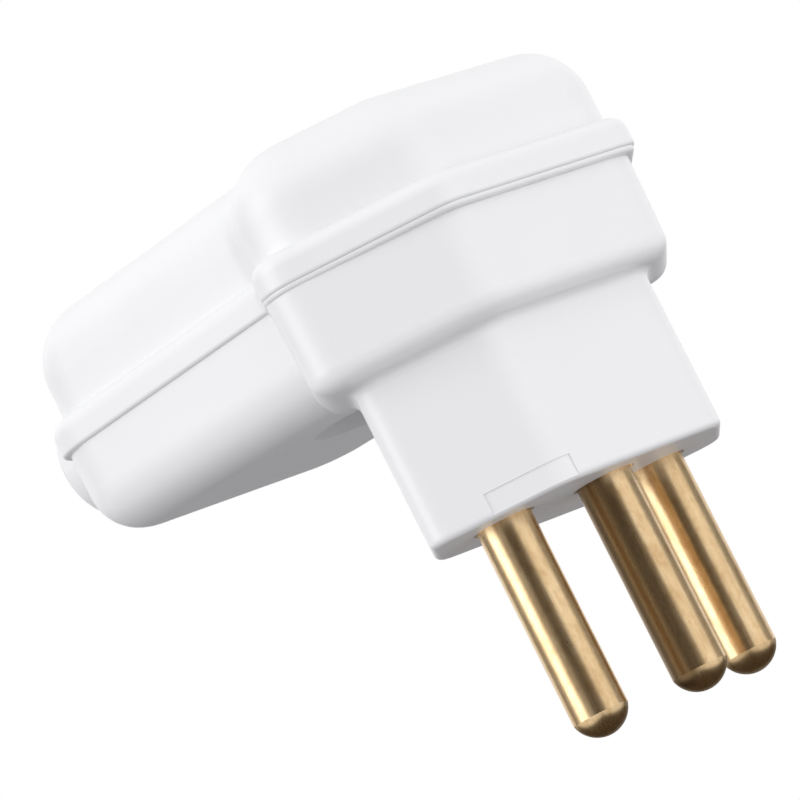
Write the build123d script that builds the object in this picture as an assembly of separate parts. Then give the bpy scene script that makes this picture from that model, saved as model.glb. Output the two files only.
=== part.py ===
from build123d import *
from math import radians, sqrt, tan
import os

os.makedirs("parts", exist_ok=True)

# Right-angle plug with three round pins, in millimetres.
# The plug face is the plane Z = 0, midway between the two outer pins. The pins point down,
# the row of outer pins lies along X, the earth pin is offset towards -Y and the cord leaves along +Y.

# pins
PIN_R = 2.4
PIN_LENGTH = 19.0
PIN_SPACING = 19.0
EARTH_OFFSET = 3.0
PIN_END_HEIGHT = 1.83
SHANK_STEP = 0.25
SHANK_R = PIN_R + SHANK_STEP
PIN_FIT = 0.05

# pin block, a long hexagon with square points at both ends
BLOCK_LENGTH = 36.6
BLOCK_WIDTH = 17.0
BLOCK_HEIGHT = 14.4
BLOCK_NOSE_R = 4.0
BLOCK_TIP_R = 2.0
BLOCK_FACE_R = 0.6
BLOCK_WALL = 2.0
BLOCK_ROOM_R = 0.4
FACE_THICKNESS = 3.0

# six-sided body above the block, up to the parting plane
BODY_HEIGHT = 9.2
BODY_OFFSET = 3.05
BODY_DRAFT = 1.6
BODY_NOSE_R = 5.5
BODY_TIP_R = 3.4
BODY_LOWER_R = 1.8
BODY_FOOT_R = 0.9
BODY_WALL = 2.0
PARTING_Z = BLOCK_HEIGHT + BODY_HEIGHT

# cord tail behind the body, on a sloping floor
TAIL_INSET = 2.1
TAIL_HALF = BLOCK_LENGTH / 2 - TAIL_INSET
TAIL_END = 39.3
TAIL_CORNER_R = 7.0
TAIL_LOWER_R = 4.3
TAIL_STEP = 0.1
TAIL_SLOPE = 1.45
TAIL_WALL = 2.0

# flange under the parting plane, wide in front and dying out towards the two points
FLANGE_HEIGHT = 0.45
FLANGE_REACH = 0.75
FLANGE_OFFSET = BODY_OFFSET + FLANGE_REACH
FLANGE_TIP_REACH = 0.12
FLANGE_TIP_OFFSET = BODY_OFFSET + FLANGE_TIP_REACH
FLANGE_SINK = 0.3
FLANGE_NOSE_R = 3.4
FLANGE_TIP_R = 3.4
FLANGE_ROOT_R = 1.2
FLANGE_LOWER_R = 0.4

# cover: rim band, wall and rounded top
RIM_HEIGHT = 2.9
RIM_TOP_Z = PARTING_Z + RIM_HEIGHT
RIM_REACH = 0.25
RIM_OFFSET = FLANGE_OFFSET + RIM_REACH
RIM_TIP_REACH = 0.08
RIM_TIP_OFFSET = FLANGE_TIP_OFFSET + RIM_TIP_REACH
RIM_TAIL_REACH = 0.4
RIM_TAIL_HALF = TAIL_HALF + RIM_TAIL_REACH
RIM_END_REACH = 0.5
RIM_TAIL_END = TAIL_END + RIM_END_REACH
RIM_NOSE_R = 3.5
RIM_TIP_R = 3.5
RIM_ROOT_R = 1.2
RIM_UPPER_R = 1.3
RIM_LOWER_R = 0.35
COVER_HEIGHT = 11.45
COVER_TOP_Z = PARTING_Z + COVER_HEIGHT
COVER_INSET = 1.4
COVER_OFFSET = RIM_OFFSET - COVER_INSET
COVER_TAIL_INSET = 1.2
COVER_TAIL_HALF = RIM_TAIL_HALF - COVER_TAIL_INSET
COVER_TAIL_END = RIM_TAIL_END - COVER_TAIL_INSET
COVER_TOP_R = 5.4
COVER_NOSE_STEP = 0.6
COVER_NOSE_R = COVER_TOP_R + COVER_NOSE_STEP
COVER_TIP_STEP = 0.8
COVER_TIP_R = COVER_TOP_R + COVER_TIP_STEP
COVER_CORNER_STEP = 1.2
COVER_CORNER_R = COVER_TOP_R + COVER_CORNER_STEP
COVER_ROOT_R = 4.0
COVER_WALL = 2.0

# lip of the cover in the rebate of the base
REBATE_DEPTH = 1.6
REBATE_INSET = 0.95
REBATE_TAIL_INSET = 1.5
REBATE_OFFSET = BODY_OFFSET - REBATE_INSET
REBATE_TAIL_HALF = TAIL_HALF - REBATE_TAIL_INSET
REBATE_TAIL_END = TAIL_END - REBATE_TAIL_INSET
REBATE_NOSE_R = 1.2
REBATE_TIP_R = 4.6
REBATE_CORNER_R = TAIL_CORNER_R - REBATE_TAIL_INSET
REBATE_ROOT_R = 2.0
LIP_CLEARANCE = 0.15
LIP_ROOT = 0.5

# cord nozzle
NOZZLE_RISE = 1.0
NOZZLE_Z = PARTING_Z + NOZZLE_RISE
NOZZLE_R = 5.4
NOZZLE_BORE_R = 4.2
NOZZLE_LENGTH = 9.5
NOZZLE_END = TAIL_END + NOZZLE_LENGTH
NOZZLE_SINK = 2.3
NOZZLE_ROOT = TAIL_END - NOZZLE_SINK
NOZZLE_CLEARANCE = 0.1
NOZZLE_EDGE_R = 0.5

# pin towers and the terminals on top of the pins
HEAD_STEP = 0.65
HEAD_R = SHANK_R + HEAD_STEP
HEAD_FLAT = 0.6
HEAD_ACROSS_FLATS = 2 * (HEAD_R - HEAD_FLAT)
HEAD_SEAT_DROP = 1.4
HEAD_SEAT_Z = BLOCK_HEIGHT - HEAD_SEAT_DROP
HEAD_DROP = 1.0
HEAD_TOP_Z = PARTING_Z - HEAD_DROP
TOWER_WALL = 1.15
TOWER_R = HEAD_R + PIN_FIT + TOWER_WALL
TOWER_RISE = 0.2
TOWER_TOP_Z = BLOCK_HEIGHT + TOWER_RISE
WIRE_HOLE_R = 1.7
WIRE_HOLE_DROP = 4.4
WIRE_HOLE_Z = HEAD_TOP_Z - WIRE_HOLE_DROP
BARRIER_THICKNESS = 1.2
BARRIER_TOP_Z = PARTING_Z - REBATE_DEPTH

# terminal screws
TERMINAL_SCREW_R = 1.45
TERMINAL_SCREW_REACH = 3.2
TERMINAL_HEAD_R = 2.6
TERMINAL_HEAD_HEIGHT = 1.8
SLOT_WIDTH = 0.8
SLOT_DEPTH = 0.9
SCREW_CHAMFER = 0.3
SCREW_FIT = 0.05

# closing screw, its well and its bush
WELL_SEAT_R = 6.0
WELL_DRAFT = 8.0
WELL_DEPTH = 4.2
WELL_MOUTH_R = WELL_SEAT_R + WELL_DEPTH * tan(radians(WELL_DRAFT))
WELL_SEAT_Z = BLOCK_HEIGHT + WELL_DEPTH
WELL_GAP = 0.2
WELL_WALL = 1.2
WELL_PLATE = 1.6
CLOSING_Y = BLOCK_WIDTH / 2 + WELL_GAP + WELL_MOUTH_R
CLOSING_JOINT_DROP = 1.2
CLOSING_JOINT_Z = PARTING_Z - CLOSING_JOINT_DROP
CLOSING_R = 2.0
CLOSING_HOLE_R = 2.2
CLOSING_HEAD_R = 3.7
CLOSING_HEAD_HEIGHT = 2.4
CLOSING_REACH = 7.2
CLOSING_TIP_Z = CLOSING_JOINT_Z + CLOSING_REACH
BUSH_R = 2.9
BUSH_SPARE = 0.4
BUSH_LENGTH = CLOSING_REACH + BUSH_SPARE
BOSS_R = BUSH_R + COVER_WALL

# cord clamp
CLAMP_SETBACK = 7.3
CLAMP_Y = TAIL_END - CLAMP_SETBACK
CLAMP_DEPTH = 7.0
CLAMP_GAP = 0.8
CLAMP_HALF_LENGTH = COVER_TAIL_HALF - COVER_WALL - CLAMP_GAP
CLAMP_THICKNESS = 2.4
CLAMP_ARCH_R = NOZZLE_BORE_R + NOZZLE_CLEARANCE
CLAMP_ARCH_THICKNESS = 2.0
CLAMP_END = 3.0
CLAMP_SCREW_X = CLAMP_HALF_LENGTH - CLAMP_END
CLAMP_CORNER = 0.2
CLAMP_SCREW_R = 1.45
CLAMP_SCREW_HOLE_R = 1.65
CLAMP_BOSS_R = 3.2
CLAMP_HEAD_R = 2.7
CLAMP_HEAD_HEIGHT = 2.0
CLAMP_SCREW_REACH = 5.8
CLAMP_SCREW_TIP_Z = NOZZLE_Z - CLAMP_SCREW_REACH
CLAMP_HOLE_SPARE = 0.4
SADDLE_HALF = 7.6
SADDLE_THICKNESS = 1.6
SADDLE_DROP = 0.6
SADDLE_TOP_Z = PARTING_Z - SADDLE_DROP
SADDLE_SPACING = 6.0

# shallow corner mark at the foot of the block
MARK_DEPTH = 0.1
MARK_HEIGHT = 2.1
MARK_SLANT = 6.4
MARK_FRONT = 1.65

# how far a cutting shape runs past what it cuts
OVERRUN = 1.0

PINS = {
    "live_pin": (-PIN_SPACING / 2, 0.0),
    "neutral_pin": (PIN_SPACING / 2, 0.0),
    "earth_pin": (0.0, -EARTH_OFFSET),
}


def hexagon(offset, nose_r, tip_r):
    """The block's plan, moved out by offset, with its four blunt corners and two points rounded."""
    half = BLOCK_WIDTH / 2 + offset
    tip = BLOCK_LENGTH / 2 + offset * sqrt(2)
    nose = tip - half
    plan = Polygon(
        (-tip, 0), (-nose, -half), (nose, -half), (tip, 0), (nose, half), (-nose, half), align=None
    )
    plan = fillet(plan.vertices().filter_by(lambda v: abs(v.Y) < 0.01), tip_r)
    return fillet(plan.vertices().filter_by(lambda v: abs(abs(v.Y) - half) < 0.01), nose_r)


def outline(offset, tip_offset, tail_half, tail_end, nose_r, tip_r, root_r, corner_r):
    """The housing's plan: the front of the hexagon, both points, and the tail behind them."""
    half = BLOCK_WIDTH / 2 + offset
    nose = BLOCK_LENGTH / 2 + offset * sqrt(2) - half
    tip = BLOCK_LENGTH / 2 + tip_offset * sqrt(2)
    root = tip - tail_half
    plan = Polygon(
        (-tip, 0), (-nose, -half), (nose, -half), (tip, 0),
        (tail_half, root), (tail_half, tail_end), (-tail_half, tail_end), (-tail_half, root),
        align=None,
    )
    root_r = min(root_r, 0.95 * (root * sqrt(2) - tip_r) / tan(radians(22.5)))
    for level, radius in ((0.0, tip_r), (-half, nose_r), (root, root_r), (tail_end, corner_r)):
        plan = fillet(plan.vertices().filter_by(lambda v: abs(v.Y - level) < 0.01), radius)
    return plan


def tail_plan(half, end, corner_r):
    plan = Pos(0, end / 2) * Rectangle(2 * half, end)
    return fillet(plan.vertices().filter_by(lambda v: v.Y > end / 2), corner_r)


def prism(plan, low, high):
    return extrude(Pos(0, 0, low) * plan, amount=high - low)


def tail_floor(y):
    """Height of the tail's sloping underside."""
    return BLOCK_HEIGHT + TAIL_STEP + y * tan(radians(TAIL_SLOPE))


def tail_wedge(lift, top):
    """Everything between the sloping underside of the tail, raised by lift, and top."""
    near, far = -OVERRUN, NOZZLE_END
    side = Polygon(
        (near, tail_floor(near) + lift), (far, tail_floor(far) + lift), (far, top), (near, top), align=None
    )
    return extrude(Plane.YZ * side, amount=BLOCK_LENGTH, both=True)


def lower_edges(solid):
    """The edges round the underside, leaving out the one that stays inside the body."""
    return solid.faces().sort_by(Axis.Z)[0].edges().filter_by(lambda e: e.center().Y > OVERRUN)


def post(x, y, radius, low, high):
    return Pos(x, y, (low + high) / 2) * Cylinder(radius, high - low)


def along_y(radius, y0, y1, z):
    return Pos(0, (y0 + y1) / 2, z) * Rot(90, 0, 0) * Cylinder(radius, y1 - y0)


def slab(x0, x1, y0, y1, z0, z1):
    return Pos((x0 + x1) / 2, (y0 + y1) / 2, (z0 + z1) / 2) * Box(x1 - x0, y1 - y0, z1 - z0)


def slotted_screw(x, y, seat, shank_r, tip, head_r, head_height, up=1):
    """A cheese-head screw: seat is the plane under the head, tip the end of the shank."""
    crown = seat + up * head_height
    shank = post(x, y, shank_r, min(seat, tip), max(seat, tip))
    head = post(x, y, head_r, min(seat, crown), max(seat, crown))
    head = chamfer(head.edges().filter_by(lambda e: abs(e.center().Z - crown) < 0.01), SCREW_CHAMFER)
    deep, over = sorted((crown - up * SLOT_DEPTH, crown + up * OVERRUN))
    slot = slab(x - head_r, x + head_r, y - SLOT_WIDTH / 2, y + SLOT_WIDTH / 2, deep, over)
    return shank + head - slot


# base, outside
block = prism(hexagon(0, BLOCK_NOSE_R, BLOCK_TIP_R), 0, BLOCK_HEIGHT + BODY_WALL / 2)
block = fillet(block.faces().sort_by(Axis.Z)[0].edges(), BLOCK_FACE_R)
mark_ring = prism(hexagon(OVERRUN, BLOCK_NOSE_R, BLOCK_TIP_R), -OVERRUN, MARK_HEIGHT)
mark_ring -= prism(hexagon(-MARK_DEPTH, BLOCK_NOSE_R, BLOCK_TIP_R), -OVERRUN, MARK_HEIGHT)
nose = (BLOCK_LENGTH - BLOCK_WIDTH) / 2
block -= mark_ring & slab(
    -nose - MARK_SLANT / sqrt(2), -nose + MARK_FRONT, -BLOCK_WIDTH, 0, -OVERRUN, MARK_HEIGHT
)

body_top = PARTING_Z - FLANGE_HEIGHT / 2
body_plan = Pos(0, 0, body_top) * hexagon(BODY_OFFSET, BODY_NOSE_R, BODY_TIP_R)
body = extrude(body_plan, amount=body_top - BLOCK_HEIGHT, dir=(0, 0, -1), taper=BODY_DRAFT)
body = fillet(body.faces().sort_by(Axis.Z)[0].edges(), BODY_LOWER_R)

flange_plan = outline(
    FLANGE_OFFSET, FLANGE_TIP_OFFSET, TAIL_HALF - FLANGE_SINK, TAIL_END - FLANGE_SINK,
    FLANGE_NOSE_R, FLANGE_TIP_R, FLANGE_ROOT_R, TAIL_CORNER_R,
)
flange = prism(flange_plan, PARTING_Z - FLANGE_HEIGHT, PARTING_Z)
flange = fillet(flange.faces().sort_by(Axis.Z)[0].edges(), FLANGE_LOWER_R)

tail = prism(tail_plan(TAIL_HALF, TAIL_END, TAIL_CORNER_R), 0, PARTING_Z) & tail_wedge(0, PARTING_Z)
tail = fillet(lower_edges(tail), TAIL_LOWER_R)
shoulder = block + body
foot = shoulder.edges().filter_by(lambda e: abs(e.center().Z - BLOCK_HEIGHT) < 0.01)
foot = foot.filter_by(lambda e: block.distance_to(e.center()) < 0.01)
base = fillet(foot, BODY_FOOT_R) + flange + tail

# base, inside
block_room = hexagon(-BLOCK_WALL, BLOCK_NOSE_R - BLOCK_WALL, BLOCK_ROOM_R)
base -= prism(block_room, FACE_THICKNESS, PARTING_Z)
body_room = hexagon(BODY_OFFSET - BODY_WALL, BODY_NOSE_R - BODY_WALL, BODY_TIP_R - BODY_WALL)
base -= prism(body_room, BLOCK_HEIGHT + BODY_WALL, PARTING_Z + OVERRUN)
tail_room = prism(
    tail_plan(TAIL_HALF - TAIL_WALL, TAIL_END - TAIL_WALL, TAIL_CORNER_R - TAIL_WALL), 0, PARTING_Z + OVERRUN
)
tail_room &= tail_wedge(TAIL_WALL, PARTING_Z + OVERRUN)
base -= fillet(lower_edges(tail_room), TAIL_LOWER_R - TAIL_WALL)
base -= prism(
    outline(
        REBATE_OFFSET, REBATE_OFFSET, REBATE_TAIL_HALF, REBATE_TAIL_END,
        REBATE_NOSE_R, REBATE_TIP_R, REBATE_ROOT_R, REBATE_CORNER_R,
    ),
    PARTING_Z - REBATE_DEPTH, PARTING_Z + OVERRUN,
)

# pin towers with keyed seats, and the insulating walls between the terminals
core_plan = hexagon(-BLOCK_WALL / 2, BLOCK_NOSE_R - BLOCK_WALL / 2, BLOCK_ROOM_R)
core = prism(core_plan, FACE_THICKNESS / 2, PARTING_Z)
for x, y in PINS.values():
    base += post(x, y, TOWER_R, FACE_THICKNESS / 2, TOWER_TOP_Z) & core
for side in (-1, 1):
    x = side * PIN_SPACING / 4
    base += core & slab(
        x - BARRIER_THICKNESS / 2, x + BARRIER_THICKNESS / 2,
        -BLOCK_WIDTH / 2, BLOCK_WIDTH / 2, FACE_THICKNESS / 2, BARRIER_TOP_Z,
    )
for x, y in PINS.values():
    base -= post(x, y, SHANK_R + PIN_FIT, -OVERRUN, TOWER_TOP_Z)
    seat = post(x, y, HEAD_R + PIN_FIT, HEAD_SEAT_Z, PARTING_Z)
    flats = HEAD_ACROSS_FLATS / 2 + PIN_FIT
    reach = HEAD_R + OVERRUN
    base -= seat & slab(x - flats, x + flats, y - reach, y + reach, HEAD_SEAT_Z, PARTING_Z)

# flared well of the closing screw: the wall turned from one profile, the hollow from another
wall_low = tail_floor(CLOSING_Y) + TAIL_WALL / 2
flare = tan(radians(WELL_DRAFT))
well_wall = Polyline(
    (0, wall_low),
    (WELL_SEAT_R + WELL_WALL + flare * (WELL_SEAT_Z - wall_low), wall_low),
    (WELL_SEAT_R + WELL_WALL, WELL_SEAT_Z),
    (WELL_SEAT_R + WELL_WALL, WELL_SEAT_Z + WELL_PLATE),
    (BOSS_R, WELL_SEAT_Z + WELL_PLATE),
    (BOSS_R, CLOSING_JOINT_Z),
    (0, CLOSING_JOINT_Z),
    close=True,
)
well_room = Polyline(
    (0, BLOCK_HEIGHT),
    (WELL_MOUTH_R, BLOCK_HEIGHT),
    (WELL_SEAT_R, WELL_SEAT_Z),
    (CLOSING_HOLE_R, WELL_SEAT_Z),
    (CLOSING_HOLE_R, PARTING_Z),
    (0, PARTING_Z),
    close=True,
)
base += Pos(0, CLOSING_Y, 0) * revolve(make_face(Plane.XZ * well_wall), Axis.Z)
base -= Pos(0, CLOSING_Y, 0) * revolve(make_face(Plane.XZ * well_room), Axis.Z)

# cord nozzle, saddles and clamp bosses
nozzle = along_y(NOZZLE_R, NOZZLE_ROOT, NOZZLE_END, NOZZLE_Z)
nozzle = fillet(nozzle.edges().filter_by(lambda e: e.center().Y > NOZZLE_END - 0.01), NOZZLE_EDGE_R)
below = slab(-BLOCK_LENGTH, BLOCK_LENGTH, 0, 2 * NOZZLE_END, 0, NOZZLE_Z)
above = slab(-BLOCK_LENGTH, BLOCK_LENGTH, 0, 2 * NOZZLE_END, NOZZLE_Z, 2 * COVER_TOP_Z)
base += nozzle & below
footing = tail_floor(TAIL_END)
for y in (CLAMP_Y - SADDLE_SPACING / 2, CLAMP_Y + SADDLE_SPACING / 2):
    base += slab(
        -SADDLE_HALF, SADDLE_HALF, y - SADDLE_THICKNESS / 2, y + SADDLE_THICKNESS / 2, footing, SADDLE_TOP_Z
    )
for side in (-1, 1):
    x = side * CLAMP_SCREW_X
    base += post(x, CLAMP_Y, CLAMP_BOSS_R, footing, NOZZLE_Z)
    hole_end = CLAMP_SCREW_TIP_Z - CLAMP_HOLE_SPARE
    base -= post(x, CLAMP_Y, CLAMP_SCREW_R + SCREW_FIT, hole_end, NOZZLE_Z + OVERRUN)
cord_bore = along_y(NOZZLE_BORE_R, CLAMP_Y - SADDLE_SPACING, NOZZLE_END + OVERRUN, NOZZLE_Z)
base -= cord_bore

# cover, outside
rim_plan = outline(
    RIM_OFFSET, RIM_TIP_OFFSET, RIM_TAIL_HALF, RIM_TAIL_END, RIM_NOSE_R, RIM_TIP_R, RIM_ROOT_R, TAIL_CORNER_R
)
rim = prism(rim_plan, PARTING_Z, RIM_TOP_Z)
rim = fillet(rim.faces().sort_by(Axis.Z)[-1].edges(), RIM_UPPER_R)
rim = fillet(rim.faces().sort_by(Axis.Z)[0].edges(), RIM_LOWER_R)
shell_plan = outline(
    COVER_OFFSET, COVER_OFFSET, COVER_TAIL_HALF, COVER_TAIL_END,
    COVER_NOSE_R, COVER_TIP_R, COVER_ROOT_R, COVER_CORNER_R,
)
shell = prism(shell_plan, PARTING_Z, COVER_TOP_Z)
shell = fillet(shell.faces().sort_by(Axis.Z)[-1].edges(), COVER_TOP_R)
cover = rim + shell + (nozzle & above)

# cover, inside
lip_plan = outline(
    REBATE_OFFSET - LIP_CLEARANCE, REBATE_OFFSET - LIP_CLEARANCE,
    REBATE_TAIL_HALF - LIP_CLEARANCE, REBATE_TAIL_END - LIP_CLEARANCE,
    REBATE_NOSE_R, REBATE_TIP_R, REBATE_ROOT_R + LIP_CLEARANCE, REBATE_CORNER_R - LIP_CLEARANCE,
)
cover += prism(lip_plan, PARTING_Z - REBATE_DEPTH + LIP_CLEARANCE, PARTING_Z + LIP_ROOT)
room_plan = outline(
    COVER_OFFSET - COVER_WALL, COVER_OFFSET - COVER_WALL,
    COVER_TAIL_HALF - COVER_WALL, COVER_TAIL_END - COVER_WALL,
    COVER_NOSE_R - COVER_WALL, COVER_TIP_R - COVER_WALL,
    COVER_ROOT_R + COVER_WALL, COVER_CORNER_R - COVER_WALL,
)
room = prism(room_plan, 0, COVER_TOP_Z - COVER_WALL)
room = fillet(room.faces().sort_by(Axis.Z)[-1].edges(), COVER_TOP_R - COVER_WALL)
cover -= room
cover += post(0, CLOSING_Y, BOSS_R, CLOSING_JOINT_Z, COVER_TOP_Z - COVER_WALL / 2)
cover -= post(0, CLOSING_Y, BUSH_R + SCREW_FIT, CLOSING_JOINT_Z - OVERRUN, CLOSING_JOINT_Z + BUSH_LENGTH)
cover -= along_y(NOZZLE_R + NOZZLE_CLEARANCE, CLAMP_Y, NOZZLE_END, NOZZLE_Z) & below
cover -= cord_bore

# pins: rounded end, thicker shank inside the block, keyed head, wire hole and screw hole
pins = {}
for name, (x, y) in PINS.items():
    shoulder = -PIN_LENGTH + PIN_END_HEIGHT
    ball = (PIN_R**2 + PIN_END_HEIGHT**2) / (2 * PIN_END_HEIGHT)
    bulge = -PIN_LENGTH + ball - sqrt(ball**2 - (PIN_R / 2) ** 2)
    profile = Polyline(
        (0, -PIN_LENGTH), (0, HEAD_SEAT_Z), (SHANK_R, HEAD_SEAT_Z),
        (SHANK_R, 0), (PIN_R, 0), (PIN_R, shoulder),
    )
    profile += ThreePointArc((PIN_R, shoulder), (PIN_R / 2, bulge), (0, -PIN_LENGTH))
    shank = revolve(make_face(Plane.XZ * profile), Axis.Z)
    flats = HEAD_ACROSS_FLATS / 2
    head = post(0, 0, HEAD_R, HEAD_SEAT_Z, HEAD_TOP_Z)
    head &= slab(-flats, flats, -HEAD_R, HEAD_R, HEAD_SEAT_Z, HEAD_TOP_Z)
    pin = shank + head
    pin -= along_y(WIRE_HOLE_R, -HEAD_R, HEAD_R, WIRE_HOLE_Z)
    pin -= post(0, 0, TERMINAL_SCREW_R + SCREW_FIT, WIRE_HOLE_Z, HEAD_TOP_Z)
    pins[name] = Pos(x, y, 0) * pin

terminal_screws = Compound(
    children=[
        slotted_screw(
            x, y, HEAD_TOP_Z, TERMINAL_SCREW_R, HEAD_TOP_Z - TERMINAL_SCREW_REACH,
            TERMINAL_HEAD_R, TERMINAL_HEAD_HEIGHT,
        )
        for x, y in PINS.values()
    ]
)

# closing screw, driven from the pin side, and its bush in the cover
housing_screw = slotted_screw(
    0, CLOSING_Y, WELL_SEAT_Z, CLOSING_R, CLOSING_TIP_Z, CLOSING_HEAD_R, CLOSING_HEAD_HEIGHT, up=-1
)
housing_insert = post(0, CLOSING_Y, BUSH_R, CLOSING_JOINT_Z, CLOSING_JOINT_Z + BUSH_LENGTH)
housing_insert -= post(0, CLOSING_Y, CLOSING_R + SCREW_FIT, 0, COVER_TOP_Z)

# cord clamp: a strap with an arch over the cord
arch_r = CLAMP_ARCH_R + CLAMP_ARCH_THICKNESS
y0 = CLAMP_Y - CLAMP_DEPTH / 2
y1 = CLAMP_Y + CLAMP_DEPTH / 2
clamp = slab(-CLAMP_HALF_LENGTH, CLAMP_HALF_LENGTH, y0, y1, NOZZLE_Z, NOZZLE_Z + CLAMP_THICKNESS)
clamp = fillet(clamp.edges().filter_by(Axis.Z), CLAMP_DEPTH / 2 - CLAMP_CORNER)
clamp += along_y(arch_r, y0, y1, NOZZLE_Z) & above
clamp -= along_y(CLAMP_ARCH_R, y0 - OVERRUN, y1 + OVERRUN, NOZZLE_Z)
for side in (-1, 1):
    clamp -= post(side * CLAMP_SCREW_X, CLAMP_Y, CLAMP_SCREW_HOLE_R, 0, COVER_TOP_Z)
cord_clamp_screws = Compound(
    children=[
        slotted_screw(
            side * CLAMP_SCREW_X, CLAMP_Y, NOZZLE_Z + CLAMP_THICKNESS, CLAMP_SCREW_R, CLAMP_SCREW_TIP_Z,
            CLAMP_HEAD_R, CLAMP_HEAD_HEIGHT,
        )
        for side in (-1, 1)
    ]
)

nodes = {
    "base_housing": base,
    "cover_housing": cover,
    **pins,
    "terminal_screws": terminal_screws,
    "housing_screw": housing_screw,
    "housing_insert": housing_insert,
    "cord_clamp": clamp,
    "cord_clamp_screws": cord_clamp_screws,
}
for name, solid in nodes.items():
    export_step(solid, f"parts/{name}.step")
    print(name, len(solid.solids()), "solid", round(solid.volume, 1), "mm3")
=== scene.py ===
from math import cos, pi, radians, sin

import bmesh
import bpy
from bpy.props import FloatProperty, FloatVectorProperty, IntProperty, PointerProperty
from mathutils import Matrix, Vector


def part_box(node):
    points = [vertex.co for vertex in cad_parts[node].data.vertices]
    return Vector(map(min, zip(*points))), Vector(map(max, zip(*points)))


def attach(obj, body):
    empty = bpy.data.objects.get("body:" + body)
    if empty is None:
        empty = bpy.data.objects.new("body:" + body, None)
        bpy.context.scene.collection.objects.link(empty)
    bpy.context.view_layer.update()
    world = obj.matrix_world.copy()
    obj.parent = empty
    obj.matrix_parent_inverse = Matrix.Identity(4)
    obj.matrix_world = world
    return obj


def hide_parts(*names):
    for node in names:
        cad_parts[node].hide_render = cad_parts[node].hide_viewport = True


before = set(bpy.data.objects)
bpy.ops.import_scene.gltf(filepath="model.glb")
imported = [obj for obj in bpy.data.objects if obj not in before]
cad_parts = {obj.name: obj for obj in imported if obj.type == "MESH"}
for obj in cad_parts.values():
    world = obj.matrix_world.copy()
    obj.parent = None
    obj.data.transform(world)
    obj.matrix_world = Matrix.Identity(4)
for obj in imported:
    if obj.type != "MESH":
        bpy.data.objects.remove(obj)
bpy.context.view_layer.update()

bl_info = {
    "name": "Right-angle three-pin plug",
    "version": (1, 0, 0),
    "blender": (4, 5, 0),
    "location": "3D View > Sidebar > Plug",
    "description": "Dresses the plug's moulded housing, brass pins and screws, and sets its stage",
    "category": "Object",
}

PINS = ("live_pin", "neutral_pin", "earth_pin")
HOUSINGS = ("base_housing", "cover_housing")


# Shader maths

# A Mix node's sockets for colours, by their places, because others have the same names
MIX_FACTOR, MIX_FIRST, MIX_SECOND, MIX_RESULT = 0, 6, 7, 2

# Mean value of a noise texture
NOISE_MIDDLE = 0.5


class Wire:
    """One shader socket in a sum: each operator adds a Math node."""

    def __init__(self, bench, socket):
        self.bench = bench
        self.socket = socket

    def maths(self, operation, first, second):
        return self.bench.node("ShaderNodeMath", {"operation": operation}, {0: first, 1: second})

    def __add__(self, other):
        return self.maths("ADD", self, other)

    def __radd__(self, other):
        return self.maths("ADD", other, self)

    def __sub__(self, other):
        return self.maths("SUBTRACT", self, other)

    def __rsub__(self, other):
        return self.maths("SUBTRACT", other, self)

    def __mul__(self, other):
        return self.maths("MULTIPLY", self, other)

    def __rmul__(self, other):
        return self.maths("MULTIPLY", other, self)

    def __or__(self, other):
        return self.maths("MAXIMUM", self, other)

    def __abs__(self):
        return self.maths("ABSOLUTE", self, 0.0)


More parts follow.
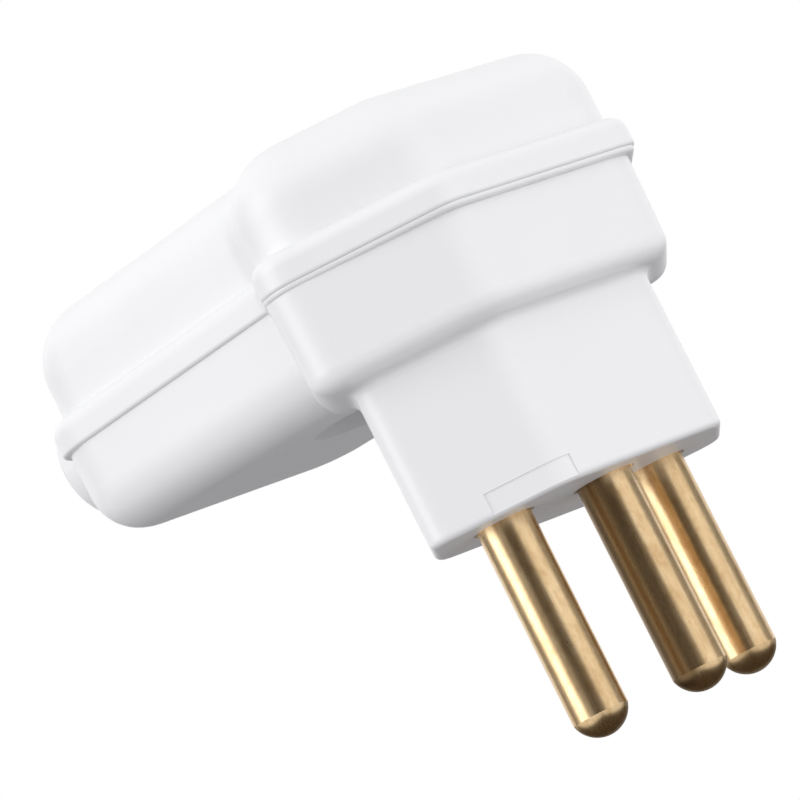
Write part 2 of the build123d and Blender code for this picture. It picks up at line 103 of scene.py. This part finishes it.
class Bench:
    """The node tree of one material or world, and the one way to add a node to it."""

    def __init__(self, owner):
        owner.use_nodes = True
        self.owner = owner
        self.tree = owner.node_tree
        self.tree.nodes.clear()

    def node(self, kind, settings=None, sockets=None, out=0):
        """Adds a node: its settings first, then the value or the wire of each socket."""
        made = self.tree.nodes.new(kind)
        for key, value in (settings or {}).items():
            if key == "stops":
                self.set_stops(made.color_ramp.elements, value)
            else:
                setattr(made, key, value)
        for key, value in (sockets or {}).items():
            if isinstance(value, Wire):
                self.tree.links.new(value.socket, made.inputs[key])
            else:
                made.inputs[key].default_value = value
        return Wire(self, made.outputs[out]) if made.outputs else made

    def set_stops(self, elements, stops):
        while len(elements) < len(stops):
            elements.new(1.0)
        for element, (place, level) in zip(elements, stops):
            element.position = place
            element.color = (level, level, level, 1.0)

    def place(self, stretch=(1.0, 1.0, 1.0), centre=(0.0, 0.0, 0.0)):
        """Object coordinates about a centre; a stretch below 1 makes a pattern run long on that axis."""
        spot = self.node("ShaderNodeTexCoord", out="Object")
        moved = self.node("ShaderNodeVectorMath", {"operation": "SUBTRACT"}, {0: spot, 1: centre})
        return self.node("ShaderNodeVectorMath", {"operation": "MULTIPLY"}, {0: moved, 1: stretch})

    def axis(self, vector, letter):
        return self.node("ShaderNodeSeparateXYZ", None, {"Vector": vector}, out=letter)

    def noise(self, vector, size, detail=2.0, roughness=0.5):
        """Noise with features of about the given size in metres."""
        return self.node(
            "ShaderNodeTexNoise", None,
            {"Vector": vector, "Scale": 1.0 / size, "Detail": detail, "Roughness": roughness},
        )

    def ramp(self, value, start, full):
        """Rises from nought at start to one at full."""
        return self.node("ShaderNodeValToRGB", {"stops": ((start, 0.0), (full, 1.0))}, {"Fac": value})

    def blend(self, factor, first, second):
        """The first colour where the factor is nought, the second where it is one."""
        sockets = {MIX_FACTOR: factor, MIX_FIRST: paint(first), MIX_SECOND: paint(second)}
        return self.node("ShaderNodeMix", {"data_type": "RGBA"}, sockets, out=MIX_RESULT)

    def bump(self, height, distance, strength=1.0, under=None):
        """Relief of a given height in metres, on top of another where one is given."""
        sockets = {"Height": height, "Distance": distance, "Strength": strength}
        if under is not None:
            sockets["Normal"] = under
        return self.node("ShaderNodeBump", None, sockets)

    def surface(self, **sockets):
        """Ends the material in one surface; an underscore stands for a space in a socket's name."""
        names = {key.replace("_", " "): value for key, value in sockets.items()}
        shader = self.node("ShaderNodeBsdfPrincipled", None, names)
        self.node("ShaderNodeOutputMaterial", None, {"Surface": shader})
        return self.owner


def paint(colour):
    """A colour with its alpha, or a wire as it is."""
    return colour if isinstance(colour, Wire) else (*colour[:3], 1.0)


def shade(colour, level):
    return tuple(part * level for part in colour[:3])


def new_material(name):
    return Bench(bpy.data.materials.new(name))


def dress(material, *objects):
    """Puts one material on every slot of these objects."""
    for thing in objects:
        if not thing.material_slots:
            thing.data.materials.append(material)
        for slot in thing.material_slots:
            slot.material = material


def nodes_named(names):
    """The CAD nodes of these names, or an error where the pack has none."""
    missing = [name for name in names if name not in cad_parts]
    if missing:
        raise RuntimeError(f"the packed plug has no {', '.join(missing)}")
    return [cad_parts[name] for name in names]


# Sizes and colours

def metres(name, description, default):
    return FloatProperty(
        name=name, description=description, default=default,
        min=0.0, subtype="DISTANCE", unit="LENGTH", precision=6,
    )


def tint(name, description, default):
    return FloatVectorProperty(
        name=name, description=description, default=default, size=3, min=0.0, max=1.0, subtype="COLOR",
    )


def fraction(name, description, default):
    return FloatProperty(
        name=name, description=description, default=default, min=0.0, max=1.0, subtype="FACTOR",
    )


def brightness(name, description, default):
    return FloatProperty(name=name, description=description, default=default, min=0.0, soft_max=4.0)


class PlugPlastic(bpy.types.PropertyGroup):
    """Moulded plastic of the housing and of the strap inside it."""

    white: tint("White", "Colour of the moulded housing", (0.845, 0.845, 0.86))
    roughness: fraction("Roughness", "Middling roughness of the housing", 0.36)
    grain: metres("Grain", "Size of the fine moulded grain", 0.00022)
    grain_depth: metres("Grain depth", "Height of the moulded grain", 0.000004)
    flow: metres("Flow", "Size of the soft clouds that the melt left", 0.009)
    wave: metres("Wave", "Size of the soft waves in the faces", 0.006)
    wave_depth: metres("Wave depth", "Height of the soft waves", 0.00003)
    scuff: metres("Scuff", "Width of the scuffs", 0.0016)
    strap: tint("Strap", "Colour of the cord strap inside", (0.55, 0.55, 0.56))
    strap_grain: metres("Strap grain", "Size of the strap's coarse grain", 0.0003)
    strap_grain_depth: metres("Strap grain depth", "Height of the strap's grain", 0.00001)
    strap_flow: metres("Strap flow", "Size of the clouds in the strap", 0.004)


class PlugBrass(bpy.types.PropertyGroup):
    """Drawn brass of the pins and turned brass of the bush."""

    bright: tint("Bright", "Clean brass", (0.91, 0.68, 0.40))
    dull: tint("Dull", "Brass that has been handled", (0.66, 0.43, 0.21))
    # Painted shade: this dark brown darkens the -X side of the earth pin
    painted_shade_colour: tint("Shade paint", "Shade painted on the side of the earth pin", (0.255, 0.165, 0.08))
    roughness: fraction("Roughness", "Middling roughness of the pins", 0.27)
    line: metres("Line", "Width of the drawing lines along a pin", 0.00012)
    line_depth: metres("Line depth", "Depth of the drawing lines", 0.000002)
    streak: metres("Streak", "Width of the brushed streaks along a pin", 0.00025)
    mark: metres("Mark", "Width of the cloudy handling marks", 0.0017)
    speck: metres("Speck", "Width of the small mottles", 0.00055)
    ring: metres("Ring", "Width of the turning rings on the bush", 0.0002)
    ring_depth: metres("Ring depth", "Depth of the turning rings", 0.000006)
    bush_mark: metres("Bush mark", "Size of the dull marks on the bush", 0.0015)


class PlugScrews(bpy.types.PropertyGroup):
    """Zinc-plated screws."""

    zinc: tint("Zinc", "Colour of the plating", (0.62, 0.63, 0.66))
    spangle: metres("Spangle", "Size of the spangles in the plating", 0.0006)
    plate_mark: metres("Plate mark", "Size of the fine marks in the plating", 0.00015)
    plate_depth: metres("Plate depth", "Depth of the fine marks", 0.000004)
    pitch: metres("Pitch", "Advance of the thread in one turn", 0.0007)
    thread_depth: metres("Thread depth", "Height of the thread", 0.0004)
    slot_width: metres("Slot width", "Width of the driver slot", 0.0008)
    slot_depth: metres("Slot depth", "Depth of the driver slot", 0.0009)
    edge: metres("Edge", "Rounding of the head's edge", 0.0003)
    closing_shank: metres("Closing shank", "Radius of the closing screw's thread", 0.0020)
    closing_head: metres("Closing head", "Height of the closing screw's head", 0.0024)
    wire_shank: metres("Wire shank", "Radius of a wire screw's thread", 0.00145)
    wire_head: metres("Wire head", "Height of a wire screw's head", 0.0018)
    strap_shank: metres("Strap shank", "Radius of a strap screw's thread", 0.00145)
    strap_head: metres("Strap head", "Height of a strap screw's head", 0.0020)
    steps: IntProperty(
        name="Steps", description="Steps in one turn of the thread", default=20, min=8, max=64,
    )


class PlugStage(bpy.types.PropertyGroup):
    """Floor, white surround, lamps and cards."""

    floor_level: FloatProperty(
        name="Floor level", description="Height of the floor", default=-0.075,
        subtype="DISTANCE", unit="LENGTH",
    )
    floor_pale: tint("Floor", "Floor as the camera sees it", (0.90, 0.90, 0.90))
    floor_bounce: tint("Bounce", "Floor as the object sees it", (0.41, 0.41, 0.42))
    sheet: tint("Sheet", "Pale square of floor in front, as the object sees it", (0.85, 0.85, 0.85))
    dark_card: tint("Dark card", "Cards behind the camera and under the pins", (0.060, 0.045, 0.030))
    half_card: tint("Half card", "Card that softens the edge of the dark one", (0.50, 0.50, 0.50))
    grey_card: tint("Grey card", "Cards at both far sides", (0.28, 0.28, 0.28))
    low_card: tint("Low card", "Card on the floor beyond the object", (0.18, 0.18, 0.18))
    sky: fraction("Sky", "Level of the white surround on the object", 0.81)
    side_box: brightness("Side box", "Box on the tail's side", 1.65)
    side_fill: brightness("Side fill", "Soft fill on the tail's side", 0.7)
    front_fill: brightness("Front fill", "Soft fill in front", 3.9)
    low_fill: brightness("Low fill", "Soft fill behind the camera", 0.78)


# Screws

SAME_HEIGHT = 1e-7
ON_THE_RIM = 0.01
HEAD_SEGMENTS = 48
EDGE_SEGMENTS = 3

# One tooth of a thread: how far out, from root to crest, and how far up, in shares of the pitch
TOOTH = ((0.0, 0.0), (1.0, 0.42), (1.0, 0.54), (0.0, 0.92), (0.0, 1.0))
SPARE_TURNS = 3
MERGE_SHARE = 0.02


def level_at(part, height):
    """Whether all of a face or an edge lies at one height."""
    return all(abs(v.co.z - height) < SAME_HEIGHT for v in part.verts)


def raise_faces(mesh, faces, rise):
    """Draws faces out along Z, with walls behind them."""
    grown = bmesh.ops.extrude_face_region(mesh, geom=faces)["geom"]
    lifted = [g for g in grown if isinstance(g, bmesh.types.BMVert)]
    bmesh.ops.translate(mesh, verts=lifted, vec=(0, 0, rise))


def slotted_head(mesh, centre, seat, radius, height, up, look):
    """A cheese head with a driver slot: a disc below the slot, and two halves beside it."""
    half_slot = look.slot_width / 2
    disc = bmesh.ops.create_circle(mesh, cap_ends=True, radius=radius, segments=HEAD_SEGMENTS)["verts"]
    bmesh.ops.translate(mesh, verts=disc, vec=(0, 0, seat))
    for side in (-1, 1):
        bmesh.ops.bisect_plane(
            mesh, geom=[*mesh.verts, *mesh.edges, *mesh.faces],
            plane_co=(0, side * half_slot, seat), plane_no=(0, 1, 0),
        )
    floor = seat + up * (height - look.slot_depth)
    crown = seat + up * height
    raise_faces(mesh, [f for f in mesh.faces if level_at(f, seat)], floor - seat)
    halves = [
        f for f in mesh.faces
        if level_at(f, floor) and abs(f.calc_center_median().y) > half_slot
    ]
    for half in halves:
        raise_faces(mesh, [half], crown - floor)
    rim = [
        e for e in mesh.edges
        if level_at(e, crown)
        and all(abs(v.co.xy.length - radius) < radius * ON_THE_RIM for v in e.verts)
    ]
    bmesh.ops.bevel(
        mesh, geom=rim, offset=look.edge, segments=EDGE_SEGMENTS, profile=0.5, affect="EDGES", material=-1,
    )
    bmesh.ops.translate(mesh, verts=mesh.verts, vec=(centre.x, centre.y, 0))


def cut_thread(mesh, centre, low, high, radius, look):
    """A threaded shank: one tooth swept round and up, then trimmed flat and closed at both ends."""
    pitch, root = look.pitch, radius - look.thread_depth
    start = low - pitch
    verts = [
        mesh.verts.new((root + out * look.thread_depth, 0, start + rise * pitch)) for out, rise in TOOTH
    ]
    edges = [mesh.edges.new(pair) for pair in zip(verts, verts[1:])]
    turns = int((high - low) / pitch) + SPARE_TURNS
    bmesh.ops.spin(
        mesh, geom=[*verts, *edges], cent=(0, 0, 0), axis=(0, 0, 1),
        dvec=(0, 0, pitch / look.steps), angle=2 * pi * turns, steps=turns * look.steps,
    )
    bmesh.ops.remove_doubles(mesh, verts=mesh.verts, dist=pitch * MERGE_SHARE)
    for height, side in ((low, -1), (high, 1)):
        cut = bmesh.ops.bisect_plane(
            mesh, geom=[*mesh.verts, *mesh.edges, *mesh.faces],
            plane_co=(0, 0, height), plane_no=(0, 0, side), clear_outer=True,
        )["geom_cut"]
        bmesh.ops.contextual_create(mesh, geom=[g for g in cut if isinstance(g, bmesh.types.BMEdge)])
    bmesh.ops.translate(mesh, verts=mesh.verts, vec=(centre.x, centre.y, 0))


def add_part(whole, make, *sizes):
    """Makes one closed shell on its own and joins it to the whole."""
    shell = bmesh.new()
    make(shell, *sizes)
    bmesh.ops.recalc_face_normals(shell, faces=shell.faces)
    carrier = bpy.data.meshes.new("shell")
    shell.to_mesh(carrier)
    shell.free()
    whole.from_mesh(carrier)
    bpy.data.meshes.remove(carrier)


def screw_set(name, node, screws, shank, head_height, up, look):
    """The screws of one CAD node as one piece: screws lists each centre, seat, tip and head radius."""
    whole = bmesh.new()
    for centre, seat, tip, head_radius in screws:
        add_part(whole, slotted_head, centre, seat, head_radius, head_height, up, look)
        add_part(whole, cut_thread, centre, min(seat, tip), max(seat, tip), shank, look)
    mesh = bpy.data.meshes.new(name)
    whole.to_mesh(mesh)
    whole.free()
    piece = bpy.data.objects.new(name, mesh)
    bpy.context.scene.collection.objects.link(piece)
    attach(piece, "root")
    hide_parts(node)
    return piece


# Finishes: START and FULL say where a pattern begins to show and shows in full, ROUGH what it adds
# to the roughness, SMOOTHEST the least roughness, and GLOSSIER how far the least lies below the middling

# Housing: scuffs run along the tail
SCUFF_STRETCH = (1.0, 0.25, 1.0)
SCUFF_START, SCUFF_FULL = 0.55, 0.72
CLOUD_SHADE = 0.975
HOUSING_GLOSSIER, CLOUD_ROUGH, SCUFF_ROUGH = 0.05, 0.08, 0.05
GRAIN_STRENGTH, WAVE_STRENGTH = 0.6, 0.35
HOUSING_IOR = 1.49

# Pins: lines, streaks, marks and mottles run along Z, each less than the one before
LINE_STRETCH = (1.0, 1.0, 0.012)
STREAK_STRETCH = (1.0, 1.0, 0.08)
MARK_STRETCH = (1.0, 1.0, 0.4)
SPECK_STRETCH = (1.0, 1.0, 0.7)
STREAK_START, STREAK_FULL = 0.42, 0.62
MARK_START, MARK_FULL = 0.40, 0.66
SPECK_START, SPECK_FULL = 0.46, 0.66
MARK_DULL, SPECK_DULL, STREAK_DULL = 0.5, 0.3, 0.2
PIN_GLOSSIER, MARK_ROUGH, LINE_ROUGH, PAINTED_SHADE_ROUGH = 0.06, 0.10, 0.06, 0.06
LINE_STRENGTH = 0.5

# Painted shade on the earth pin's -X side, by the share of the way from its axis to the -X side of its box
PAINTED_SHADE_START, PAINTED_SHADE_FULL = 0.58, 0.76
PAINTED_SHADE_RAGGED = 0.12

# Bush: rings run round Z
RING_STRETCH = (0.02, 0.02, 1.0)
BUSH_SMOOTHEST, RING_ROUGH, RING_STRENGTH = 0.26, 0.16, 0.5

# Plating
SPANGLE_SHADE = 0.72
PLATE_SMOOTHEST, SPANGLE_ROUGH, PLATE_STRENGTH = 0.24, 0.22, 0.4

# Strap
STRAP_SHADE = 0.9
STRAP_SMOOTHEST, STRAP_ROUGH, STRAP_STRENGTH = 0.52, 0.2, 0.6
STRAP_IOR = 1.5


def housing_plastic(look):
    """White moulded plastic: fine grain in the gloss, soft clouds from the melt, a few scuffs."""
    bench = new_material("housing_plastic")
    spot = bench.place()
    cloud = bench.noise(spot, look.flow, detail=3.0)
    grain = bench.noise(spot, look.grain)
    scuff = bench.noise(bench.place(SCUFF_STRETCH), look.scuff, detail=4.0, roughness=0.65)
    scuff = bench.ramp(scuff, SCUFF_START, SCUFF_FULL)
    wave = bench.noise(spot, look.wave, detail=1.0)
    relief = bench.bump(grain, look.grain_depth, GRAIN_STRENGTH)
    return bench.surface(
        Base_Color=bench.blend(cloud, shade(look.white, CLOUD_SHADE), look.white),
        Roughness=look.roughness - HOUSING_GLOSSIER + cloud * CLOUD_ROUGH + scuff * SCUFF_ROUGH,
        Normal=bench.bump(wave, look.wave_depth, WAVE_STRENGTH, under=relief),
        IOR=HOUSING_IOR,
    )


def pin_brass(name, look, painted_shade_side=False):
    """Drawn brass with lines, brushed streaks and handling marks; on one pin, painted shade on the -X
    side.
    """
    bench = new_material(name)
    lines = bench.noise(bench.place(LINE_STRETCH), look.line, detail=3.0, roughness=0.6)
    streaks = bench.noise(bench.place(STREAK_STRETCH), look.streak)
    marks = bench.noise(bench.place(MARK_STRETCH), look.mark, detail=4.0, roughness=0.62)
    specks = bench.noise(bench.place(SPECK_STRETCH), look.speck)
    dull = (
        bench.ramp(marks, MARK_START, MARK_FULL) * MARK_DULL
        + bench.ramp(specks, SPECK_START, SPECK_FULL) * SPECK_DULL
        + bench.ramp(streaks, STREAK_START, STREAK_FULL) * STREAK_DULL
    )
    tone = bench.blend(dull, look.bright, look.dull)
    rough = look.roughness - PIN_GLOSSIER + marks * MARK_ROUGH + lines * LINE_ROUGH
    # Painted shade: the earth pin's -X side is darkened in its colour and made a little rougher
    if painted_shade_side:
        low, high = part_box("earth_pin")
        half_width = (high.x - low.x) / 2
        outward = bench.axis(bench.place((-1.0 / half_width, 1.0, 1.0)), "X")
        painted_shade_mask = bench.ramp(outward + (marks - NOISE_MIDDLE) * PAINTED_SHADE_RAGGED, PAINTED_SHADE_START, PAINTED_SHADE_FULL)
        tone = bench.blend(painted_shade_mask, tone, look.painted_shade_colour)
        rough = rough + painted_shade_mask * PAINTED_SHADE_ROUGH
    return bench.surface(
        Base_Color=tone, Metallic=1.0, Roughness=rough,
        Normal=bench.bump(lines, look.line_depth, LINE_STRENGTH),
    )


def bush_brass(look):
    """Turned brass of the bush: rings round its axis."""
    bench = new_material("bush_brass")
    rings = bench.noise(bench.place(RING_STRETCH), look.ring)
    marks = bench.noise(bench.place(), look.bush_mark, detail=3.0)
    return bench.surface(
        Base_Color=bench.blend(marks, look.dull, look.bright), Metallic=1.0,
        Roughness=BUSH_SMOOTHEST + rings * RING_ROUGH,
        Normal=bench.bump(rings, look.ring_depth, RING_STRENGTH),
    )


def screw_zinc(look):
    """Zinc plate: spangled grey with a trace of blue, and fine marks."""
    bench = new_material("screw_zinc")
    spangle = bench.noise(bench.place(), look.spangle, detail=3.0, roughness=0.6)
    marks = bench.noise(bench.place(), look.plate_mark)
    return bench.surface(
        Base_Color=bench.blend(spangle, shade(look.zinc, SPANGLE_SHADE), look.zinc), Metallic=1.0,
        Roughness=PLATE_SMOOTHEST + spangle * SPANGLE_ROUGH,
        Normal=bench.bump(marks, look.plate_depth, PLATE_STRENGTH),
    )


def strap_plastic(look):
    """Matte moulded strap: coarse spark-eroded grain."""
    bench = new_material("strap_plastic")
    grain = bench.noise(bench.place(), look.strap_grain, detail=3.0, roughness=0.6)
    cloud = bench.noise(bench.place(), look.strap_flow)
    return bench.surface(
        Base_Color=bench.blend(cloud, shade(look.strap, STRAP_SHADE), look.strap),
        Roughness=STRAP_SMOOTHEST + grain * STRAP_ROUGH,
        Normal=bench.bump(grain, look.strap_grain_depth, STRAP_STRENGTH),
        IOR=STRAP_IOR,
    )


# Stage, in metres

FLOOR_HALF = 4.0
SHEET_CENTRE = (0.40, -0.58, 0.0)
SHEET_FULL, SHEET_END = 0.49, 0.51
CARD_LIFT = 0.002
STRAIGHT_UP = Vector((0.0, 0.0, 1.0))
PIN_MIDDLE = (0.0, 0.0, -0.01)

# Lamps: bearing from +X in degrees, distance, height, width, depth, and whether reflections show it
LAMPS = {
    "side_box": (154, 1.5, 0.5, 1.03, 1.3, True),
    "side_fill": (150, 1.6, 0.3, 1.8, 1.2, False),
    "front_fill": (300, 1.6, 0.1, 1.8, 0.35, False),
    "low_fill": (226, 1.6, 0.3, 1.8, 1.2, False),
}

# Standing cards: bearing from +X in degrees, distance, height, width, depth, and the tone's setting
STANDING_CARDS = {
    "camera_flag": (215, 1.2, 0.35, 1.85, 0.9, "dark_card"),
    "half_flag": (194, 1.15, 0.35, 0.40, 0.9, "half_card"),
    "far_side_flag": (113, 1.2, 0.35, 0.85, 0.9, "grey_card"),
    "far_front_flag": (332, 1.2, 0.35, 0.95, 0.9, "grey_card"),
}

# Square cards on the floor: bearing from +X in degrees, distance, side, and the tone's setting
FLOOR_CARDS = {
    "camera_apron": (216, 0.85, 1.0, "dark_card"),
    "under_flag": (45, 0.1414, 0.32, "dark_card"),
    "far_floor_flag": (43.8, 0.693, 0.9, "low_card"),
}

# Camera: where it stands, which way it looks, and which way is right in the picture
CAMERA_PLACE = (-0.36027, -0.33769, -0.04865)
CAMERA_AHEAD = (0.7105, 0.6926, 0.1248)
CAMERA_RIGHT = (0.6636, -0.6004, -0.4463)
SENSOR_MM, LENS_MM = 36.0, 275.25
NEAREST, FARTHEST = 0.01, 20.0


def seen_directly(bench):
    """One where the camera, a reflection or a see-through part looks, nought where the object is lit."""
    camera, glossy, through = (
        bench.node("ShaderNodeLightPath", out=name)
        for name in ("Is Camera Ray", "Is Glossy Ray", "Is Transmission Ray")
    )
    return camera | glossy | through


def white_surround(sky):
    """White to look at, and at the level of the sky where it lights the object."""
    bench = Bench(bpy.data.worlds.new("white_surround"))
    strength = sky + seen_directly(bench) * (1.0 - sky)
    light = bench.node("ShaderNodeBackground", None, {"Color": (1.0, 1.0, 1.0, 1.0), "Strength": strength})
    bench.node("ShaderNodeOutputWorld", None, {"Surface": light})
    bpy.context.scene.world = bench.owner


def floor_paint(look):
    """Plain and pale to look at; for the light it throws back, darker, with a pale square in front."""
    bench = new_material("floor_paint")
    spot = bench.place(centre=SHEET_CENTRE)
    reach = abs(bench.axis(spot, "X")) | abs(bench.axis(spot, "Y"))
    beside = bench.ramp(reach, SHEET_FULL, SHEET_END)
    bounce = bench.blend(beside, look.sheet, look.floor_bounce)
    tone = bench.blend(seen_directly(bench), bounce, look.floor_pale)
    return bench.surface(Base_Color=tone, Roughness=1.0, Specular_IOR_Level=0.0)


def card_paint(name, tone):
    bench = new_material(name)
    return bench.surface(Base_Color=paint(tone), Roughness=1.0, Specular_IOR_Level=0.0)


def facing(place, target):
    """A frame at place whose own -Z looks at the target."""
    turn = (Vector(target) - Vector(place)).to_track_quat("-Z", "Y")
    return Matrix.Translation(place) @ turn.to_matrix().to_4x4()


def around(bearing, distance, height):
    """A place at a bearing in degrees from +X, round the pins."""
    return Vector((distance * cos(radians(bearing)), distance * sin(radians(bearing)), height))


def add_lamp(name, place, width, depth, radiance, mirrored):
    """A soft box of even brightness that looks at the pins; with mirrored off, no reflection shows it."""
    lamp = bpy.data.lights.new(name, "AREA")
    lamp.shape = "RECTANGLE"
    lamp.size, lamp.size_y = width, depth
    lamp.energy = radiance * width * depth * pi
    holder = bpy.data.objects.new(name, lamp)
    holder.matrix_world = facing(place, PIN_MIDDLE)
    holder.visible_camera = False
    holder.visible_glossy = mirrored
    bpy.context.scene.collection.objects.link(holder)


def add_stage_mesh(name, mesh, material):
    """Makes a mesh an object in the scene with one material, not attached to the plug."""
    data = bpy.data.meshes.new(name)
    mesh.to_mesh(data)
    mesh.free()
    thing = bpy.data.objects.new(name, data)
    bpy.context.scene.collection.objects.link(thing)
    dress(material, thing)
    return thing


def add_card(name, place, target, width, depth, tone):
    """A dull card that only reflections see, as a photographer's flag."""
    mesh = bmesh.new()
    bmesh.ops.create_grid(mesh, x_segments=1, y_segments=1, size=0.5)
    bmesh.ops.scale(mesh, vec=(width, depth, 1.0), verts=mesh.verts)
    bmesh.ops.transform(mesh, matrix=facing(place, target), verts=mesh.verts)
    card = add_stage_mesh(name, mesh, card_paint(name + "_paint", tone))
    card.visible_camera = card.visible_diffuse = card.visible_shadow = False


def add_camera(scene):
    """A camera at the photograph's viewing angle, turned about its own axis as there."""
    camera = bpy.data.cameras.new("photo_camera")
    camera.sensor_width, camera.lens = SENSOR_MM, LENS_MM
    camera.clip_start, camera.clip_end = NEAREST, FARTHEST
    holder = bpy.data.objects.new("photo_camera", camera)
    ahead = Vector(CAMERA_AHEAD).normalized()
    up = Vector(CAMERA_RIGHT).normalized().cross(ahead).normalized()
    turn = Matrix((ahead.cross(up), up, -ahead)).transposed().to_4x4()
    holder.matrix_world = Matrix.Translation(CAMERA_PLACE) @ turn
    scene.collection.objects.link(holder)
    scene.camera = holder


# Operators

class PLUG_OT_dress_housing(bpy.types.Operator):
    """Gives the base and the cover their white moulded plastic"""

    bl_idname = "plug.dress_housing"
    bl_label = "Dress housing"

    def execute(self, context):
        dress(housing_plastic(context.scene.plug_plastic), *nodes_named(HOUSINGS))
        return {"FINISHED"}


class PLUG_OT_dress_pins(bpy.types.Operator):
    """Gives the three pins and the bush their brass"""

    bl_idname = "plug.dress_pins"
    bl_label = "Dress pins"

    def execute(self, context):
        look = context.scene.plug_brass
        *outer, earth = nodes_named(PINS)
        dress(pin_brass("pin_brass", look), *outer)
        dress(pin_brass("earth_pin_brass", look, painted_shade_side=True), earth)
        dress(bush_brass(look), *nodes_named(["housing_insert"]))
        return {"FINISHED"}


class PLUG_OT_dress_strap(bpy.types.Operator):
    """Gives the cord strap inside the tail its matte plastic"""

    bl_idname = "plug.dress_strap"
    bl_label = "Dress strap"

    def execute(self, context):
        dress(strap_plastic(context.scene.plug_plastic), *nodes_named(["cord_clamp"]))
        return {"FINISHED"}


class PLUG_OT_make_screws(bpy.types.Operator):
    """Makes the closing screw, the three wire screws and the two strap screws with their threads"""

    bl_idname = "plug.make_screws"
    bl_label = "Make screws"

    def execute(self, context):
        look = context.scene.plug_screws

        low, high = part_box("housing_screw")
        radius = (high.x - low.x) / 2
        closing = [((low + high) / 2, low.z + look.closing_head, high.z, radius)]

        # The wire screws stand over the pins, so their box is as deep as one head and the pins' stagger
        low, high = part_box("terminal_screws")
        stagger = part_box("live_pin")[0].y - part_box("earth_pin")[0].y
        radius = (high.y - low.y - stagger) / 2
        seat = high.z - look.wire_head
        wires = [(sum(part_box(pin), Vector()) / 2, seat, low.z, radius) for pin in PINS]

        low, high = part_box("cord_clamp_screws")
        radius = (high.y - low.y) / 2
        seat = high.z - look.strap_head
        row = (low.y + high.y) / 2
        straps = [
            (Vector((x, row, 0)), seat, low.z, radius) for x in (low.x + radius, high.x - radius)
        ]

        sets = (
            ("closing_screw", "housing_screw", closing, look.closing_shank, look.closing_head, -1),
            ("wire_screws", "terminal_screws", wires, look.wire_shank, look.wire_head, 1),
            ("strap_screws", "cord_clamp_screws", straps, look.strap_shank, look.strap_head, 1),
        )
        dress(screw_zinc(look), *[screw_set(*each, look) for each in sets])
        return {"FINISHED"}


class PLUG_OT_set_stage(bpy.types.Operator):
    """Sets the floor, the white surround, the lamps, the cards and the camera"""

    bl_idname = "plug.set_stage"
    bl_label = "Set stage"

    def execute(self, context):
        scene, look = context.scene, context.scene.plug_stage
        scene.view_settings.view_transform = "Standard"
        white_surround(look.sky)

        mesh = bmesh.new()
        bmesh.ops.create_grid(mesh, x_segments=1, y_segments=1, size=FLOOR_HALF)
        bmesh.ops.translate(mesh, verts=mesh.verts, vec=(0, 0, look.floor_level))
        add_stage_mesh("floor", mesh, floor_paint(look))

        for name, (bearing, distance, height, width, depth, mirrored) in LAMPS.items():
            place = around(bearing, distance, height)
            add_lamp(name, place, width, depth, getattr(look, name), mirrored)
        for name, (bearing, distance, height, width, depth, tone) in STANDING_CARDS.items():
            place = around(bearing, distance, height)
            add_card(name, place, PIN_MIDDLE, width, depth, getattr(look, tone))
        for name, (bearing, distance, side, tone) in FLOOR_CARDS.items():
            place = around(bearing, distance, look.floor_level + CARD_LIFT)
            add_card(name, place, place + STRAIGHT_UP, side, side, getattr(look, tone))

        add_camera(scene)
        return {"FINISHED"}


STEPS = (
    PLUG_OT_dress_housing,
    PLUG_OT_dress_pins,
    PLUG_OT_dress_strap,
    PLUG_OT_make_screws,
    PLUG_OT_set_stage,
)


class PLUG_PT_parts(bpy.types.Panel):
    """Lists the steps that dress the plug, and the sizes and colours that they use"""

    bl_label = "Plug"
    bl_idname = "PLUG_PT_parts"
    bl_space_type = "VIEW_3D"
    bl_region_type = "UI"
    bl_category = "Plug"

    def draw(self, context):
        column = self.layout.column(align=True)
        for step in STEPS:
            column.operator(step.bl_idname)
        for name, group in SETTINGS.items():
            box = self.layout.box()
            box.label(text=group.__doc__)
            for setting in group.__annotations__:
                box.prop(getattr(context.scene, name), setting)


SETTINGS = {
    "plug_plastic": PlugPlastic,
    "plug_brass": PlugBrass,
    "plug_screws": PlugScrews,
    "plug_stage": PlugStage,
}
CLASSES = (*SETTINGS.values(), *STEPS, PLUG_PT_parts)


def register():
    for cls in CLASSES:
        bpy.utils.register_class(cls)
    for name, group in SETTINGS.items():
        setattr(bpy.types.Scene, name, PointerProperty(type=group))


def unregister():
    for name in SETTINGS:
        delattr(bpy.types.Scene, name)
    for cls in reversed(CLASSES):
        bpy.utils.unregister_class(cls)


def main():
    """Dresses the plug step by step."""
    register()
    bpy.ops.plug.dress_housing()
    bpy.ops.plug.dress_pins()
    bpy.ops.plug.dress_strap()
    bpy.ops.plug.make_screws()
    bpy.ops.plug.set_stage()


if __name__ == "__main__":
    main()
